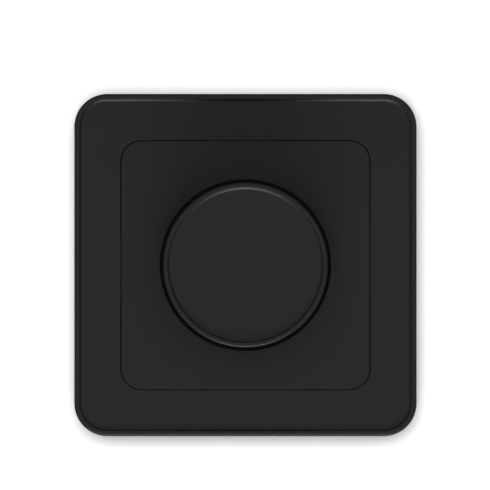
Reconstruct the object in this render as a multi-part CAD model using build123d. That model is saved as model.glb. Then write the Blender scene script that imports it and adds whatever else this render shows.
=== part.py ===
"""Flush-mounted rotary wall dimmer with a push-to-switch knob.

Every piece is drawn lying face up on a bench: X to the right, Y up the wall, Z out of the wall,
with Z = 0 on the wall's surface and the Z axis through the knob. The last step stands the whole
assembly against the wall, so that its front looks along -Y and +Z is up.
"""

from build123d import *
import math
import os

# Driving sizes, in millimetres and degrees

# Wall box and support plate
box_screw_spacing = 60.0      # screw centres of a round wall box
box_slot_length = 7.0
box_slot_width = 3.5
box_slot_edge = 2.0           # metal left between a slot and the plate's edge
support_thickness = 1.2
support_corner = 9.0
stiffener_length = 14.0       # folded lips along the top and bottom edges
stiffener_at = 17.0           # middle of the plate to the middle of a lip
stiffener_height = 3.4
stiffener_bend = 0.6          # inside radius of the fold
stiffener_root = 3.0          # depth of the relief cuts beside a lip
stiffener_relief = 0.8
support_gap = 5.0             # between the support plate and the cover frame's side wall

# Cover frame
frame_wall = 2.0
frame_corner = 8.2
frame_depth = 10.0            # wall to the crest of the rim
skin = 2.0                    # thickness of both front faces
rim_land = 1.25               # outer edge to the top of the rim's inner slope
rim_slope = 0.5               # run of that slope
rim_height = 0.6              # crest of a rim over the face that it surrounds
rim_round = 0.75
slope_round = 0.1             # top of a rim's inner slope
foot_round = 0.8              # foot of that slope
frame_rib = 1.2
frame_rib_spread = 15.0       # ribs either side of the middle of each bar
frame_rib_height = 3.0

# Opening, its ledge and its centring lugs
opening_side = 62.08
opening_corner = 5.3
edge_round = 0.12
ledge_width = 1.8
ledge_thickness = 1.8
ledge_wall = 1.6
lug_width = 17.15
lug_offset = 0.74             # each lug sits this far round from the middle of its side
lug_drop = 0.4
lug_clear = 0.06

# Centre plate
plate_gap = 0.24              # joint that shows between plate and frame
lip_clear = 0.3
lip_thickness = 1.4
lip_height = 2.4
foot_radius = 2.2
foot_merge = 0.7              # foot running into the lip
well_radius = 21.2
well_wall = 1.6
well_round = 0.15
well_floor = 1.6
boss_height = 1.0             # support plate to the back of the well's floor
boss_wall = 2.8
plate_rib = 1.2
plate_rib_height = 3.0

# Knob
knob_gap = 0.7                # well's edge to the knob's skirt
knob_taper = 0.6              # draft of the knob's side
knob_height = 12.6            # centre plate's face to the crest of the knob's rim
knob_round = 0.5
knob_land = 1.0               # outer edge to the top of the rim's inner slope
knob_slope = 0.5
knob_wall = 1.8
skirt_round = 0.3
knob_top = 2.2
skirt_clear = 0.8             # skirt to well floor when the knob is pushed home
hub_wall = 2.5
hub_end = 1.4                 # knob left over the shaft's end
hub_clear = 0.4               # hub to bushing when the knob is pushed home
knob_rib = 1.2
knob_rib_count = 6
knob_rib_height = 4.0
clip_leaf = 0.4               # spring leaf that grips the shaft's flat
clip_width = 3.6
clip_length = 7.0
clip_clear = 0.05

# Control: bushing, shaft and the nut that clamps the centre plate
bushing_radius = 5.0
bushing_clear = 0.2
nut_across_flats = 14.0
nut_thickness = 2.6
nut_clear = 0.05
washer_thickness = 0.5
washer_width = 2.8
thread_spare = 0.6            # bushing left standing over the nut
flange_side = 16.0
flange_thickness = 1.0
flange_corner = 1.0
locating_lug = (1.2, 2.4)
locating_lug_height = 0.9
locating_lug_inset = 0.6      # lug back from the flange's edge
locating_clear = 0.15
shaft_radius = 3.0
shaft_clear = 0.05
shaft_flat = 2.2              # axis to the flat
shaft_point = 0.5             # chamfer of the shaft's front end
push_travel = 1.2

# Potentiometer
pot_wall = 0.9
pot_floor = 0.8
rotor_radius = 5.6
rotor_thickness = 1.8
rotor_headroom = 0.2
rotor_lug_reach = 1.2
rotor_lug_half_angle = 15.0
stop_half_angle = 29.0        # with the lug this leaves 270 degrees and a degree each end
stop_clear = 0.3
wiper_leaf = 0.2
wiper_width = 1.7
wiper_gap = 0.6
wiper_finger = 0.8
wiper_lift = 0.05             # fingertips over the track
track_thickness = 0.6
track_clear = 0.3
tongue_width = 8.4
tongue_reach = 0.9            # tongue that carries the pins, past the pot's wall
pin_width = 0.9
pin_thickness = 0.5
pin_pitch = 2.5
pin_head = 0.4
pin_shoulder = 0.3
pin_clear = 0.1

# Shaft retaining ring and push switch
ring_gap = 0.05
ring_thickness = 0.6
ring_width = 1.9
ring_groove = 0.5
ring_clear = 0.02
ring_mouth = 4.0
tail_land = 0.45
switch_side = 14.0
switch_bore_radius = 5.9
switch_floor = 0.8
plunger_clear = 0.15
plunger_thickness = 1.2
plunger_stem_radius = 1.4
plunger_stem = 1.4
bridge_thickness = 0.3
bridge_width = 2.0
contact_side = 1.5
contact_collar = 2.6
contact_collar_height = 0.6
contact_gap = 0.1             # contacts to bridge with the knob pushed home
spring_radius = 2.0
spring_wire = 0.4
spring_turns = 4.0
spring_length = 3.6

# Circuit board and the insert's housing
board_thickness = 1.6
board_clear = 0.3
housing_side = 48.0
housing_corner = 12.5
housing_wall = 1.5
housing_back = 1.6
housing_round = 1.0
component_headroom = 0.6      # tallest component to the housing's back
post_radius = 2.6
post_shoulder = 1.0
post_wall_gap = 0.6           # post to housing wall
post_clear = 0.3
screw_radius = 1.3
screw_clear = 0.05
screw_head_radius = 2.4
screw_length = 8.0
screw_head_sink = 0.05
screw_slot = 0.6
vent_width = 1.6
vent_length = 12.0
vent_pitch = 3.4
vent_count = 4

# Terminals
terminal_count = 4
terminal_pitch = 5.5
block_end_wall = 0.4
block_depth = 11.4            # up from the housing's lower wall
window_clear = 0.15
pocket_width = 4.1
pocket_height = 6.2
pocket_from_top = 1.5
cage_clear = 0.2
cage_wall = 0.6
cage_height = 5.6
cage_sink = 0.8
terminal_screw_radius = 1.25
terminal_head_radius = 1.8
terminal_head_height = 1.8
terminal_head_sink = 0.9
terminal_screw_clear = 0.1
terminal_screw_reach = 1.2    # screw's point inside the cage
terminal_slot = 0.7
terminal_pin = 1.0

# Power stage and the rest of the electronics
pad_thickness = 0.25
pad_margin = 0.3
transistor_width = 10.0
transistor_pitch = 12.4
transistor_height = 4.4
transistor_tab = 3.8
transistor_tab_thickness = 1.3
transistor_gap = 1.4          # bushing flange to the transistors' bodies
transistor_wall_gap = 0.4     # transistors' tabs to the housing's wall
transistor_round = 0.3
lead_width = 0.8
lead_thickness = 0.5
lead_pitch = 2.54
tab_screw_radius = 1.4
tab_screw_head_radius = 2.4
tab_screw_length = 3.6
choke_outer = 6.8
choke_inner = 3.6
choke_height = 6.0
choke_wire = 0.6
choke_gap_angle = 50.0
choke_wall_gap = 3.6          # winding to the housing's wall
choke_post_drop = 10.8        # middle of a post to the middle of the choke
choke_lead_angle = 30.0       # leads either side of the choke's lowest point
film_capacitor_size = (13.0, 6.5, 9.2)
film_capacitor_wall_gap = 5.0
film_capacitor_rise = 4.5     # terminal block to the capacitor
smoothing_radius = 4.0
smoothing_height = 8.6
smoothing_wall_gap = 7.0
smoothing_post_drop = 8.9
fuse_radius = 4.2
fuse_height = 7.4
fuse_wall_gap = 1.1
chip_size = (8.7, 4.4, 1.5)
chip_wall_gap = 4.1
chip_drop = 6.0               # axis of the knob to the middle of the chip
component_round = 0.6
wire_lead = 0.6
wire_lead_spread = 2.5        # middle of a component to either lead
chip_lead_pitch = 2.0
chip_lead = (0.5, 0.9, 0.3)

# Levels and sides that follow from the driving sizes

support_side = box_screw_spacing + box_slot_length + 2 * box_slot_edge
frame_inside = support_side + 2 * support_gap
frame_side = frame_inside + 2 * frame_wall
face_z = frame_depth - rim_height
seat_z = face_z - skin
plate_side = opening_side - 2 * plate_gap
plate_corner = opening_corner - plate_gap
lip_side = opening_side - 2 * (ledge_width + lip_clear)
lip_corner = opening_corner - ledge_width - lip_clear
foot_at = lip_side / 2 - lip_thickness - foot_radius + foot_merge
foot_points = [(x * foot_at, y * foot_at) for x in (-1, 1) for y in (-1, 1)]

well_back_z = support_thickness + boss_height
well_floor_z = well_back_z + well_floor
nut_z = well_floor_z + washer_thickness
bushing_top_z = nut_z + nut_thickness + thread_spare
knob_radius = well_radius - knob_gap
knob_skirt_z = well_floor_z + push_travel + skirt_clear
knob_crest_z = face_z + knob_height
knob_face_z = knob_crest_z - rim_height
knob_inside_z = knob_face_z - knob_top
knob_lean = (knob_crest_z - knob_skirt_z) * math.tan(math.radians(knob_taper))
knob_crest_radius = knob_radius - knob_lean
hub_radius = shaft_radius + hub_wall
hub_z = bushing_top_z + push_travel + hub_clear
shaft_top_z = knob_inside_z - hub_end
bushing_hole = bushing_radius + bushing_clear
pot_radius = flange_side / 2
pot_inside = pot_radius - pot_wall

pot_top_z = -flange_thickness
rotor_top_z = pot_top_z - rotor_headroom
rotor_back_z = rotor_top_z - rotor_thickness
track_top_z = rotor_back_z - wiper_gap
track_back_z = track_top_z - track_thickness
pot_back_z = track_back_z - pot_floor
ring_top_z = pot_back_z - ring_gap
ring_back_z = ring_top_z - ring_thickness
shaft_tail_z = ring_back_z - tail_land
plunger_back_z = shaft_tail_z - plunger_thickness
bridge_back_z = plunger_back_z - bridge_thickness
contact_top_z = bridge_back_z - push_travel - contact_gap
switch_floor_z = plunger_back_z - spring_length
board_top_z = switch_floor_z - switch_floor
board_back_z = board_top_z - board_thickness
choke_stand = choke_height + 2 * choke_wire
component_space = max(film_capacitor_size[2], smoothing_height, fuse_height, choke_stand) + component_headroom
housing_inside_z = board_back_z - component_space
housing_back_z = housing_inside_z - housing_back

housing_inside = housing_side - 2 * housing_wall
housing_inside_corner = housing_corner - housing_wall
board_side = housing_inside - 2 * board_clear
board_corner = housing_inside_corner - board_clear
corner_reach = (housing_inside / 2 - housing_inside_corner) * math.sqrt(2) + housing_inside_corner
post_at = (corner_reach - post_radius - post_shoulder - post_wall_gap) / math.sqrt(2)
post_points = [(x * post_at, y * post_at) for x in (-1, 1) for y in (-1, 1)]

block_width = terminal_count * terminal_pitch + 2 * block_end_wall
block_bottom = -housing_side / 2
block_top = block_bottom + block_depth
pocket_top = block_top - pocket_from_top
pocket_bottom = pocket_top - pocket_height
cage_back_z = housing_back_z + cage_sink
cage_top_z = cage_back_z + cage_height
cage_bottom = pocket_bottom + cage_clear
cage_top = pocket_top - cage_clear
cage_middle = (cage_bottom + cage_top) / 2
terminal_screw_z = (cage_back_z + cage_top_z) / 2
terminal_head_y = block_bottom + terminal_head_sink + terminal_head_height
terminal_xs = [(n - (terminal_count - 1) / 2) * terminal_pitch for n in range(terminal_count)]

lead_y = flange_side / 2 + transistor_gap / 2
transistor_bottom = flange_side / 2 + transistor_gap
transistor_top = housing_inside / 2 - transistor_wall_gap
transistor_body = transistor_top - transistor_tab - transistor_bottom
tab_screw_y = transistor_top - transistor_tab / 2
transistor_xs = (-transistor_pitch / 2, transistor_pitch / 2)
lead_xs = [x + n * lead_pitch for x in transistor_xs for n in (-1, 0, 1)]
lead_z = -pad_thickness - transistor_height / 2
tab_screw_points = [(x, tab_screw_y) for x in transistor_xs]
pot_pin_y = -(pot_radius + tongue_reach / 2)
pot_pin_xs = [n * pin_pitch for n in (-1, 0, 1)]
bridge_radius = switch_bore_radius - plunger_clear
contact_x = bridge_radius - bridge_width / 2
contact_xs = (-contact_x, contact_x)
choke_at = (
    choke_outer + choke_wire + choke_wall_gap - housing_inside / 2,
    post_at - choke_post_drop,
)
choke_lead_out = (choke_outer + choke_inner) / 2
choke_lead_side = choke_lead_out * math.sin(math.radians(choke_lead_angle))
choke_lead_low = choke_lead_out * math.cos(math.radians(choke_lead_angle))
choke_lead_points = [
    (choke_at[0] + n * choke_lead_side, choke_at[1] - choke_lead_low) for n in (-1, 1)
]
film_capacitor_at = (
    housing_inside / 2 - film_capacitor_wall_gap - film_capacitor_size[0] / 2,
    block_top + film_capacitor_rise + film_capacitor_size[1] / 2,
)
smoothing_at = (
    housing_inside / 2 - smoothing_wall_gap - smoothing_radius,
    post_at - smoothing_post_drop,
)
fuse_at = (0.0, housing_inside / 2 - fuse_wall_gap - fuse_radius)
chip_at = (chip_wall_gap + chip_size[0] / 2 - housing_inside / 2, -chip_drop)


# Small drawing helpers

def slab(sketch, bottom, top):
    """A sketch on the wall plane, raised into a solid between two levels."""
    return extrude(Pos(0, 0, bottom) * sketch, amount=top - bottom)


def square(side, corner):
    return RectangleRounded(side, side, corner)


def disc(radius, bottom, top, at=(0, 0)):
    return slab(Pos(*at) * Circle(radius), bottom, top)


def block(width, height, bottom, top, at=(0, 0)):
    return slab(Pos(*at) * Rectangle(width, height), bottom, top)


def turned(*points):
    """A solid of revolution about the Z axis, from points of radius and level."""
    return revolve(Plane.XZ * make_face(Polyline(*points, close=True)), Axis.Z)


def sector(outer, inner, middle_angle, half_angle, bottom, top):
    """Part of a ring about the Z axis, either side of an angle, for less than half a turn."""
    reach_out = 2 * outer / math.cos(math.radians(half_angle / 2))
    points = [(0, 0)]
    for share in (-1, -0.5, 0, 0.5, 1):
        angle = math.radians(middle_angle + share * half_angle)
        points.append((reach_out * math.cos(angle), reach_out * math.sin(angle)))
    wedge = make_face(Polyline(*points, close=True))
    return slab((Circle(outer) - Circle(inner)) & wedge, bottom, top)


def d_section(radius, flat):
    """A round section with one flat, on its +Y side."""
    return Circle(radius) - Pos(0, flat + radius) * Rectangle(2 * radius, 2 * radius)


def reach(edge):
    """How far an edge gets from the middle, along X or Y."""
    box = edge.bounding_box()
    return max(abs(box.min.X), abs(box.max.X), abs(box.min.Y), abs(box.max.Y))


def edges_at(shape, level, within=1000.0):
    flat = shape.edges().filter_by_position(Axis.Z, level - 0.001, level + 0.001)
    return [edge for edge in flat if reach(edge) < within]


def countersunk_screw(at, top, radius, head_radius, length):
    """Flat-headed screw pointing into the wall, with a straight slot."""
    cone = head_radius - radius
    body = turned(
        (0, top), (head_radius, top), (radius, top - cone), (radius, top - length + radius / 2),
        (radius / 2, top - length), (0, top - length),
    )
    slot = block(3 * head_radius, screw_slot, top - cone / 2, top)
    return Pos(at[0], at[1], 0) * (body - slot)


def countersunk_hole(at, top, radius, head_radius, bottom):
    """The hole that such a screw seats in, cone on cone."""
    wide = head_radius + screw_head_sink
    narrow = radius + screw_clear
    hole = turned(
        (0, top), (wide, top), (narrow, top - wide + narrow), (narrow, bottom), (0, bottom),
    )
    return Pos(at[0], at[1], 0) * hole


def wire_leads(at):
    """Two square leads through the circuit board, either side of a component's middle."""
    places = [(at[0] + n * wire_lead_spread, at[1]) for n in (-1, 1)]
    return [block(wire_lead, wire_lead, board_back_z, board_top_z, place) for place in places]


# Cover

def cover_frame():
    """Moulded square frame: a thin raised rim, a sunk face, and a ledge under the opening's edge."""
    rim_foot = rim_land + rim_slope
    frame = slab(square(frame_side, frame_corner), 0, frame_depth)
    frame = fillet(edges_at(frame, frame_depth), rim_round)
    sunk = square(frame_side - 2 * rim_foot, frame_corner - rim_foot)
    crest = square(frame_side - 2 * rim_land, frame_corner - rim_land)
    frame -= loft([Pos(0, 0, face_z) * sunk, Pos(0, 0, frame_depth) * crest])
    frame = fillet(edges_at(frame, frame_depth, frame_side / 2 - (rim_land + rim_round) / 2), slope_round)
    frame = fillet(edges_at(frame, face_z), foot_round)
    frame -= slab(square(frame_inside, frame_corner - frame_wall), 0, seat_z)
    ledge_side = opening_side + 2 * ledge_wall
    frame += slab(square(ledge_side, opening_corner + ledge_wall), seat_z - ledge_thickness, seat_z)
    span = (frame_side - ledge_side) / 2 - frame_wall / 2
    for angle in range(0, 360, 90):
        for side in (-1, 1):
            at = ((ledge_side + span) / 2, side * frame_rib_spread)
            frame += Rot(Z=angle) * block(span, frame_rib, seat_z - frame_rib_height, seat_z, at)
    frame -= slab(square(opening_side - 2 * ledge_width, opening_corner - ledge_width), 0, seat_z)
    frame -= slab(square(opening_side, opening_corner), seat_z, frame_depth)
    frame = fillet(edges_at(frame, face_z, opening_side / 2 + edge_round), edge_round)
    lug_depth = plate_gap - lug_clear
    for angle in range(0, 360, 90):
        at = ((opening_side - lug_depth) / 2, lug_offset)
        frame += Rot(Z=angle) * block(lug_depth, lug_width, seat_z, face_z - lug_drop, at)
    return frame


def centre_plate():
    """Square plate with a round well for the knob; its edge traps the frame's ledge."""
    plate = slab(square(plate_side, plate_corner), seat_z, face_z)
    plate = fillet(edges_at(plate, face_z), edge_round)
    lip = square(lip_side, lip_corner) - square(lip_side - 2 * lip_thickness, lip_corner - lip_thickness)
    plate += slab(lip, seat_z - lip_height, seat_z)
    plate += disc(well_radius + well_wall, well_back_z, seat_z)
    plate += disc(bushing_hole + boss_wall, support_thickness, well_back_z)
    rib_start = well_radius + well_wall / 2
    rib_span = foot_at * math.sqrt(2) - rib_start
    for angle in range(45, 360, 90):
        at = (rib_start + rib_span / 2, 0)
        plate += Rot(Z=angle) * block(rib_span, plate_rib, seat_z - plate_rib_height, seat_z, at)
    for at in foot_points:
        plate += disc(foot_radius, support_thickness, seat_z, at)
    plate -= disc(well_radius, well_floor_z, face_z)
    plate -= disc(bushing_hole, support_thickness, well_floor_z)
    return fillet(edges_at(plate, face_z, well_radius + well_round), well_round)


def knob():
    """Hollow round knob with a rim round its sunk face, and a ribbed hub for the shaft."""
    crest = knob_crest_radius
    slope_top = crest - knob_land
    body = turned(
        (0, knob_face_z), (slope_top - knob_slope, knob_face_z), (slope_top, knob_crest_z),
        (crest, knob_crest_z), (knob_radius, knob_skirt_z), (knob_radius - knob_wall, knob_skirt_z),
        (crest - knob_wall, knob_inside_z), (0, knob_inside_z),
    )
    body = fillet(edges_at(body, knob_crest_z, slope_top + slope_round), slope_round)
    body = fillet(edges_at(body, knob_face_z), foot_round)
    rim = [edge for edge in edges_at(body, knob_crest_z) if reach(edge) > crest - slope_round]
    body = fillet(rim, knob_round)
    skirt = [edge for edge in edges_at(body, knob_skirt_z) if reach(edge) > knob_radius - slope_round]
    body = fillet(skirt, skirt_round)
    body += disc(hub_radius, hub_z, knob_inside_z)
    rib_start = hub_radius / 2
    rib_span = knob_radius - knob_wall / 2 - rib_start - knob_lean
    for n in range(knob_rib_count):
        rib = block(
            rib_span, knob_rib, knob_inside_z - knob_rib_height, knob_inside_z,
            (rib_start + rib_span / 2, 0),
        )
        body += Rot(Z=360 * n / knob_rib_count) * rib
    body -= slab(d_section(shaft_radius + shaft_clear, shaft_flat + shaft_clear), hub_z, shaft_top_z)
    pocket_width_all = clip_width + 2 * clip_clear
    pocket_deep = shaft_clear + clip_leaf
    body -= block(pocket_width_all, pocket_deep, hub_z, hub_z + clip_length, (0, shaft_flat + pocket_deep / 2))
    return body


def knob_clip():
    """Spring leaf between the hub and the shaft's flat."""
    at = (0, shaft_flat + shaft_clear + clip_leaf / 2)
    return block(clip_width, clip_leaf, hub_z, hub_z + clip_length, at)


def bushing_washer():
    ring = Circle(bushing_hole + washer_width) - Circle(bushing_hole)
    return slab(ring, well_floor_z, nut_z)


def bushing_nut():
    """Hexagon nut with its corners turned off, which clamps the centre plate."""
    top = nut_z + nut_thickness
    half = nut_across_flats / 2
    corner = half / math.cos(math.radians(30))
    hexagon = RegularPolygon(half, 6, major_radius=False) - Circle(bushing_radius + nut_clear)
    drop = (corner - half) * math.tan(math.radians(30))
    round_off = turned(
        (0, nut_z), (half, nut_z), (corner, nut_z + drop), (corner, top - drop), (half, top), (0, top),
    )
    return slab(hexagon, nut_z, top) & round_off


# Control

def control_bushing():
    """Threaded bushing on a square flange, with a lug that stops it turning in the support plate."""
    lug_x = flange_side / 2 - locating_lug_inset - locating_lug[0] / 2
    body = slab(square(flange_side, flange_corner), pot_top_z, 0)
    body += disc(bushing_radius, 0, bushing_top_z)
    body += block(locating_lug[0], locating_lug[1], 0, locating_lug_height, (lug_x, 0))
    return body - disc(shaft_radius + shaft_clear, pot_top_z, bushing_top_z)


def pot_case():
    """Round cup with a moulded stop for the rotor and a window for the track's tongue."""
    case = disc(pot_radius, pot_back_z, pot_top_z) - disc(pot_inside, track_back_z, pot_top_z)
    case += sector(
        pot_inside + pot_wall / 2, rotor_radius + stop_clear, 90, stop_half_angle, track_back_z, pot_top_z,
    )
    case -= disc(shaft_radius + 4 * shaft_clear, pot_back_z, track_back_z)
    window = block(
        tongue_width + 2 * pin_clear, pot_radius - rotor_radius, track_back_z, track_top_z + pin_clear,
        (0, -(pot_radius + rotor_radius) / 2),
    )
    return case - window


def resistive_track():
    """Flat wafer on the case's floor, with a tongue that carries the pins."""
    wafer = Circle(pot_inside - track_clear) - Circle(shaft_radius + 4 * shaft_clear)
    tongue_top = -rotor_radius
    tongue_end = -pot_radius - tongue_reach
    wafer += Pos(0, (tongue_top + tongue_end) / 2) * Rectangle(tongue_width, tongue_top - tongue_end)
    track = slab(wafer, track_back_z, track_top_z)
    track -= sector(
        pot_radius, rotor_radius + stop_clear / 2, 90, stop_half_angle + 2, track_back_z, track_top_z,
    )
    for x in pot_pin_xs:
        track -= block(
            pin_width + pin_clear, pin_thickness + pin_clear, track_back_z, track_top_z, (x, pot_pin_y),
        )
    return track


def pot_pins():
    pins = []
    for x in pot_pin_xs:
        head = block(
            pin_width + 2 * pin_shoulder, pin_thickness + 2 * pin_shoulder / 2, track_top_z,
            track_top_z + pin_head, (x, pot_pin_y),
        )
        pins.append(head + block(pin_width, pin_thickness, board_back_z, track_top_z, (x, pot_pin_y)))
    return pins


def wiper_rotor():
    """Disc driven by the shaft's flat, with a lug that meets the case's stop at either end."""
    lug_out = rotor_radius + rotor_lug_reach
    rotor = disc(rotor_radius, rotor_back_z, rotor_top_z)
    rotor += sector(lug_out, rotor_radius / 2, -90, rotor_lug_half_angle, rotor_back_z, rotor_top_z)
    return rotor - slab(d_section(shaft_radius + shaft_clear, shaft_flat + shaft_clear), rotor_back_z, rotor_top_z)


def wiper_contact():
    """Thin spring ring under the rotor, with fingers that run on the track."""
    outer = rotor_radius - stop_clear
    inner = outer - wiper_width
    leaf_z = rotor_back_z - wiper_leaf
    contact = slab(Circle(outer) - Circle(inner), leaf_z, rotor_back_z)
    for angle in (-110, -70):
        finger = block(
            wiper_width / 2, wiper_finger, track_top_z + wiper_lift, rotor_back_z,
            ((outer + inner) / 2, 0),
        )
        contact += Rot(Z=angle) * finger
    return contact


def control_shaft():
    """Round shaft with one flat along it, and a groove near its tail for the retaining ring."""
    shaft = disc(shaft_radius, shaft_tail_z, shaft_top_z)
    shaft = chamfer(edges_at(shaft, shaft_top_z), shaft_point)
    shaft &= slab(d_section(2 * shaft_radius, shaft_flat), shaft_tail_z, shaft_top_z)
    groove = Circle(2 * shaft_radius) - Circle(shaft_radius - ring_groove)
    return shaft - slab(groove, ring_back_z, ring_top_z)


def shaft_retaining_ring():
    """Open ring that stops the shaft from being pulled out."""
    inner = shaft_radius - ring_groove + ring_clear
    ring = Circle(inner + ring_width) - Circle(inner)
    ring -= Pos(0, -inner - ring_width) * Rectangle(ring_mouth, 2 * ring_width + inner)
    return slab(ring, ring_back_z, ring_top_z)


def switch_case():
    """Square case behind the potentiometer, bored for the plunger."""
    case = block(switch_side, switch_side, board_top_z, pot_back_z)
    case -= disc(switch_bore_radius, switch_floor_z, pot_back_z)
    for x in contact_xs:
        side = contact_side + pin_clear
        case -= block(side, side, board_top_z, switch_floor_z, (x, 0))
    return case


def switch_plunger():
    plunger = disc(bridge_radius, plunger_back_z, shaft_tail_z)
    return plunger + disc(plunger_stem_radius, plunger_back_z - plunger_stem, plunger_back_z)


def contact_bridge():
    ring = Circle(bridge_radius) - Circle(bridge_radius - bridge_width)
    return slab(ring, bridge_back_z, plunger_back_z)


def fixed_contacts():
    posts = []
    for x in contact_xs:
        post = block(contact_side, contact_side, board_back_z, contact_top_z, (x, 0))
        collar_top = switch_floor_z + contact_collar_height
        posts.append(post + block(contact_side, contact_collar, switch_floor_z, collar_top, (x, 0)))
    return posts


def plunger_spring():
    """Coil spring that returns the plunger and the knob."""
    rise = spring_length - spring_wire
    path = Pos(0, 0, switch_floor_z + spring_wire / 2) * Helix(rise / spring_turns, rise, spring_radius)
    wire = Plane(path @ 0, z_dir=path % 0) * RegularPolygon(spring_wire / 2, 8)
    return sweep(wire, path=path, is_frenet=True)


# Insert

def support_plate():
    """Pressed steel plate that is screwed to the wall box and carries everything else."""
    outline = chamfer(Rectangle(support_side, support_side).vertices(), support_corner)
    plate = slab(outline, 0, support_thickness)
    edge = support_side / 2
    root = edge - stiffener_root
    fold = make_face(Polyline(
        (root, 0), (edge, 0), (edge, stiffener_height), (edge - support_thickness, stiffener_height),
        (edge - support_thickness, support_thickness), (root, support_thickness), close=True,
    ))
    outside = [v for v in fold.vertices() if v.X > edge - 0.01 and v.Y < 0.01]
    fold = fillet(outside, stiffener_bend + support_thickness)
    inside = [v for v in fold.vertices()
              if abs(v.X - edge + support_thickness) < 0.01 and abs(v.Y - support_thickness) < 0.01]
    fold = fillet(inside, stiffener_bend)
    lip = extrude(Plane.YZ * fold, amount=stiffener_length / 2, both=True)
    gap_width = stiffener_length + 2 * stiffener_relief
    for angle in (0, 180):
        for side in (-1, 1):
            at = (side * stiffener_at, edge - stiffener_root / 2)
            plate -= Rot(Z=angle) * block(gap_width, stiffener_root, 0, support_thickness, at)
            plate += Rot(Z=angle) * Pos(side * stiffener_at, 0, 0) * lip
    plate -= disc(bushing_hole, 0, support_thickness)
    lug_x = flange_side / 2 - locating_lug_inset - locating_lug[0] / 2
    plate -= block(
        locating_lug[0] + 2 * locating_clear, locating_lug[1] + 2 * locating_clear, 0, support_thickness,
        (lug_x, 0),
    )
    for angle in range(0, 360, 90):
        slot = Pos(box_screw_spacing / 2, 0) * SlotOverall(box_slot_length, box_slot_width)
        plate -= Rot(Z=angle) * slab(slot, 0, support_thickness)
    for at in post_points:
        plate -= countersunk_hole(at, support_thickness, screw_radius, screw_head_radius, 0)
    for at in tab_screw_points:
        plate -= countersunk_hole(at, support_thickness, tab_screw_radius, tab_screw_head_radius, 0)
    return plate


def insert_housing():
    """Moulded tub for the electronics, open to the support plate, with four stepped posts."""
    tub = slab(square(housing_side, housing_corner), housing_back_z, 0)
    tub = fillet(edges_at(tub, housing_back_z), housing_round)
    tub -= slab(square(housing_inside, housing_inside_corner), housing_inside_z, 0)
    for at in post_points:
        tub += disc(post_radius + post_shoulder, housing_inside_z, board_back_z, at)
        tub += disc(post_radius, board_back_z, 0, at)
        tub -= disc(screw_radius + screw_clear, -screw_length, 0, at)
    notch_top = block_top + window_clear
    tub -= block(
        block_width + 2 * window_clear, 2 * (notch_top - block_bottom), housing_back_z, board_back_z,
        (0, block_bottom),
    )
    for n in range(vent_count):
        y = block_top + vent_length / 2 + (n + 1) * vent_pitch
        tub -= block(vent_length, vent_width, housing_back_z, housing_inside_z, (0, y))
    return tub


def housing_screws():
    top = support_thickness - screw_head_sink
    return [countersunk_screw(at, top, screw_radius, screw_head_radius, screw_length) for at in post_points]


def circuit_board():
    """Board on the posts' shoulders, with holes for the pins of everything soldered to it."""
    board = slab(square(board_side, board_corner), board_back_z, board_top_z)
    for at in post_points:
        board -= disc(post_radius + post_clear, board_back_z, board_top_z, at)
    holes = []
    for x in pot_pin_xs:
        holes.append((pin_width, pin_thickness, x, pot_pin_y))
    for x in contact_xs:
        holes.append((contact_side, contact_side, x, 0))
    for x in terminal_xs:
        holes.append((terminal_pin, pin_thickness, x, cage_middle))
    for x in lead_xs:
        holes.append((lead_width, lead_thickness, x, lead_y))
    for at in choke_lead_points:
        holes.append((wire_lead, wire_lead, at[0], at[1]))
    for at in (film_capacitor_at, smoothing_at, fuse_at):
        for n in (-1, 1):
            holes.append((wire_lead, wire_lead, at[0] + n * wire_lead_spread, at[1]))
    for width, height, x, y in holes:
        board -= block(width + 2 * pin_clear, height + 2 * pin_clear, board_back_z, board_top_z, (x, y))
    return board


def terminal_block():
    """Moulded block at the lower back: a wire pocket per terminal, and its screw from below."""
    body = block(block_width, block_depth, housing_back_z, board_back_z, (0, (block_bottom + block_top) / 2))
    for x in terminal_xs:
        pocket_middle = (pocket_bottom + pocket_top) / 2
        body -= block(pocket_width, pocket_height, housing_back_z, cage_top_z, (x, pocket_middle))
        wide = Cylinder(terminal_head_radius + terminal_screw_clear, terminal_head_y - block_bottom,
                        align=(Align.CENTER, Align.CENTER, Align.MIN))
        narrow = Cylinder(terminal_screw_radius + terminal_screw_clear, pocket_bottom - block_bottom,
                          align=(Align.CENTER, Align.CENTER, Align.MIN))
        body -= Pos(x, block_bottom, terminal_screw_z) * Rot(X=-90) * wide
        body -= Pos(x, block_bottom, terminal_screw_z) * Rot(X=-90) * narrow
        body -= block(
            terminal_pin + 2 * pin_clear, pin_thickness + 2 * pin_clear, cage_top_z, board_back_z,
            (x, cage_middle),
        )
    return body


def terminal_clamps():
    """Metal cages in the pockets, each with a pin soldered to the board."""
    cages = []
    wide = pocket_width - 2 * cage_clear
    tall = cage_top - cage_bottom
    for x in terminal_xs:
        cage = block(wide, tall, cage_back_z, cage_top_z, (x, cage_middle))
        cage -= block(
            wide - 2 * cage_wall, tall - 2 * cage_wall, cage_back_z, cage_top_z - cage_wall, (x, cage_middle),
        )
        cage += block(terminal_pin, pin_thickness, cage_top_z, board_top_z, (x, cage_middle))
        hole = Cylinder(terminal_screw_radius + terminal_screw_clear / 2, 2 * cage_wall)
        cages.append(cage - Pos(x, cage_bottom, terminal_screw_z) * Rot(X=90) * hole)
    return cages


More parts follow.
